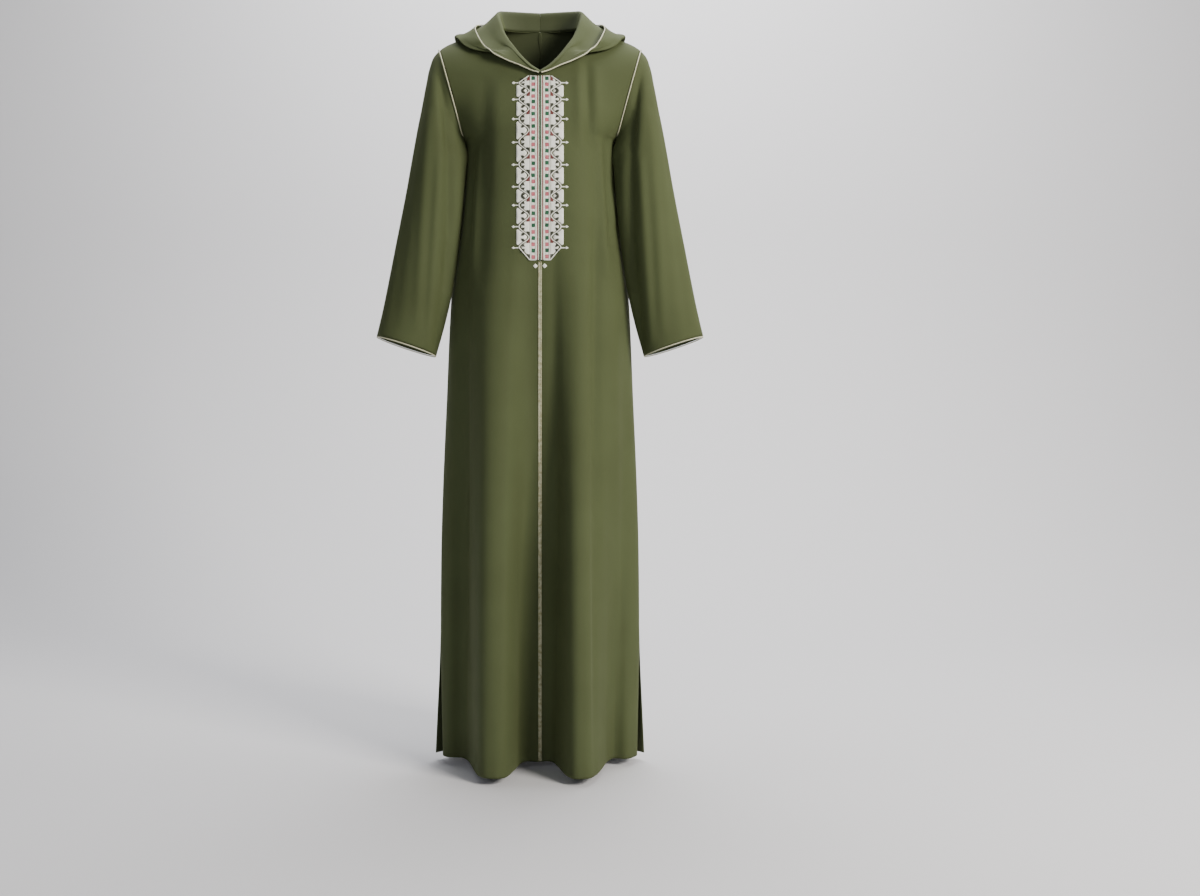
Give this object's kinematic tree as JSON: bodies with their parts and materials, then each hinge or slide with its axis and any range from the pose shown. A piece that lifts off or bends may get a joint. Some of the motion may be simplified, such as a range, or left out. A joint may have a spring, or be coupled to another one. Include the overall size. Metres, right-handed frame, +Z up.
{
  "type": "hooded abaya",
  "caption": "Long hollow hooded robe with wide straight sleeves, side slits, an embroidered front band, fine piping and a braided centre seam.",
  "frame": {"origin": "middle of the neck, level with the shoulder seams where they meet the neck", "axes": "+Z up, the front faces -Y, and +X is to the right as seen from the front"},
  "size_m": [0.6276, 0.2819, 1.4636],
  "materials": {
    "olive_cloth": "matte olive green crepe",
    "cream_cord": "twisted cream silk cord",
    "cream_braid": "flat herringbone braid, cream with a little green",
    "cream_embroidery": "raised cream embroidery with green and red stitches"
  },
  "bodies": {
    "root": {"front_left_hem": "olive_cloth", "front_left_knee": "olive_cloth", "front_left_hip": "olive_cloth", "front_left_chest": "olive_cloth", "front_right_hem": "olive_cloth", "front_right_knee": "olive_cloth", "front_right_hip": "olive_cloth", "front_right_chest": "olive_cloth", "back_left_hem": "olive_cloth", "back_left_knee": "olive_cloth", "back_left_hip": "olive_cloth", "back_left_chest": "olive_cloth", "back_right_hem": "olive_cloth", "back_right_knee": "olive_cloth", "back_right_hip": "olive_cloth", "back_right_chest": "olive_cloth", "sleeve_left": "olive_cloth", "sleeve_right": "olive_cloth", "hood_left": "olive_cloth", "hood_right": "olive_cloth", "hood_piping": "cream_cord", "armhole_piping_left": "cream_cord", "armhole_piping_right": "cream_cord", "cuff_piping_left": "cream_cord", "cuff_piping_right": "cream_cord", "centre_braid": "cream_braid", "placket_left": "cream_embroidery", "placket_right": "cream_embroidery", "closure_band_left": "cream_cord", "closure_band_right": "cream_cord", "diamond_left": "cream_embroidery", "diamond_right": "cream_embroidery"}
  },
  "joints": []
}
